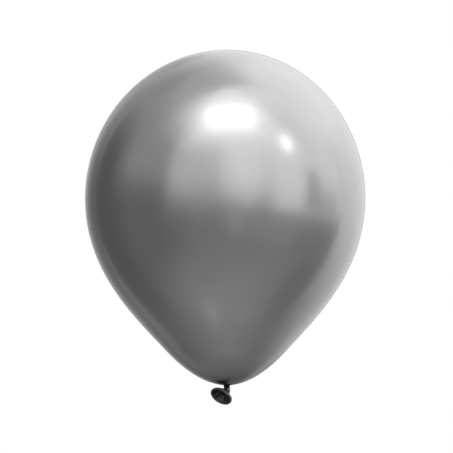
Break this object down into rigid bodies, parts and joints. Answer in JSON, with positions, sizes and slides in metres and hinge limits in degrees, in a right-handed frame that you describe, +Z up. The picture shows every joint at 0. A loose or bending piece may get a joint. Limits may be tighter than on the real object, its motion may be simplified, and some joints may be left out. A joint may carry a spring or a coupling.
{
  "type": "round chrome latex balloon",
  "caption": "Round latex balloon with a chrome finish, blown up and closed with an overhand knot; its pleated tail and rolled lip hang below the neck.",
  "frame": {"origin": "the centre of the gas inside the envelope, where the air holds the balloon up", "axes": "+Z up, from the knot to the crown; the front, towards which the tail's mouth turns, is -Y; +X to the right"},
  "size_m": [0.3, 0.3, 0.3808],
  "materials": {
    "chrome_latex": "gloss",
    "slack_latex": "satin"
  },
  "bodies": {
    "root": {"envelope": "chrome_latex", "neck": "slack_latex", "knot": "slack_latex", "tail": "slack_latex", "lip": "slack_latex"}
  },
  "joints": []
}
